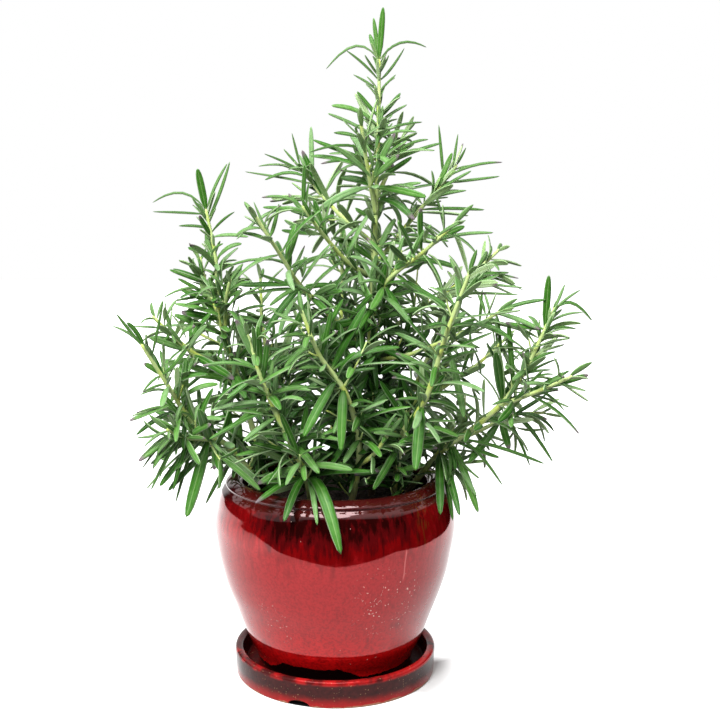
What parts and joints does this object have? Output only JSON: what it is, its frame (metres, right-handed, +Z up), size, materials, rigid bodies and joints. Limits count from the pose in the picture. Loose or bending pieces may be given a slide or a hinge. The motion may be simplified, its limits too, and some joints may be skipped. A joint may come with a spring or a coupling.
{
  "type": "potted rosemary plant",
  "caption": "Upright rosemary plant in a round-bellied, red glazed ceramic pot that stands on its low glazed saucer.",
  "frame": {"origin": "centre of the saucer's flat underside", "axes": "+Z up along the pot's axis; -Y is the side that the picture shows; +X to its right"},
  "size_m": [0.253, 0.1763, 0.373],
  "materials": {
    "saucer_glaze": "glossy red-brown glaze, darker on the outer wall, bare clay at the foot",
    "pot_glaze": "glossy flambe red glaze that runs to near black below the rim, with small speckles",
    "soil": "dark, matte, crumbly potting mix",
    "rosemary": "satin needle leaves, dark green above and pale grey-green below, on yellow-green stems"
  },
  "bodies": {
    "root": {"saucer": "saucer_glaze", "pot": "pot_glaze", "soil": "soil", "rosemary_main": "rosemary", "rosemary_left_tall": "rosemary", "rosemary_left_low": "rosemary", "rosemary_front_left": "rosemary", "rosemary_front_mid": "rosemary", "rosemary_front_right": "rosemary", "rosemary_right_low": "rosemary", "rosemary_back_left": "rosemary", "rosemary_back_mid": "rosemary", "rosemary_back_right": "rosemary"}
  },
  "joints": []
}
